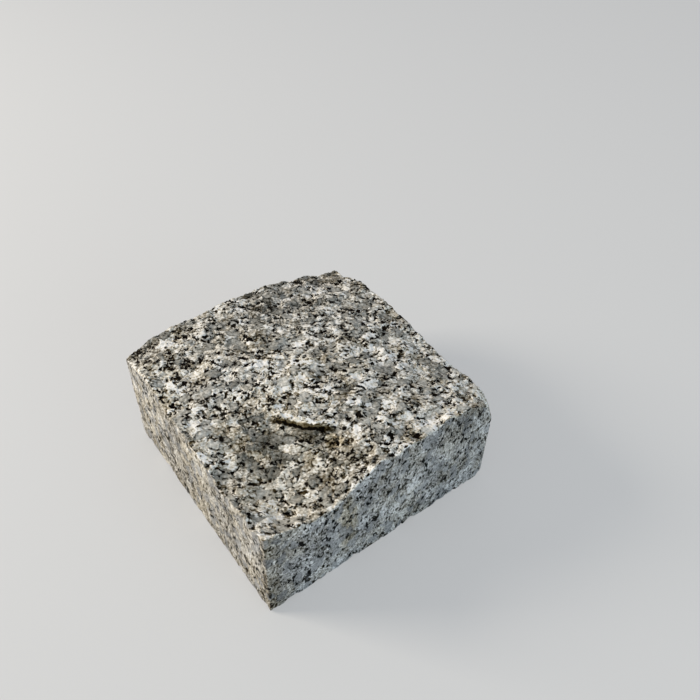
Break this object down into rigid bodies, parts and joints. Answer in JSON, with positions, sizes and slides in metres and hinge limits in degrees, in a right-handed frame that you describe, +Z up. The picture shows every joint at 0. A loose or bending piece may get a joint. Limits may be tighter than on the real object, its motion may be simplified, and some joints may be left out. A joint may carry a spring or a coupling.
{
  "type": "granite sett",
  "caption": "Square granite paving sett with a rough split top, sawn sides and a flat bed, laid on sand or mortar to pave paths and drives.",
  "frame": {"origin": "middle of the bed, on the floor that the sett lies on", "axes": "+Z up through the split top; +X and +Y square to two of the sawn sides"},
  "size_m": [0.1, 0.1, 0.05],
  "materials": {
    "granite": "speckled grey, cream and black granite; top rough as split, sides sawn flat and matte"
  },
  "bodies": {
    "root": {"granite_sett": "granite"}
  },
  "joints": []
}
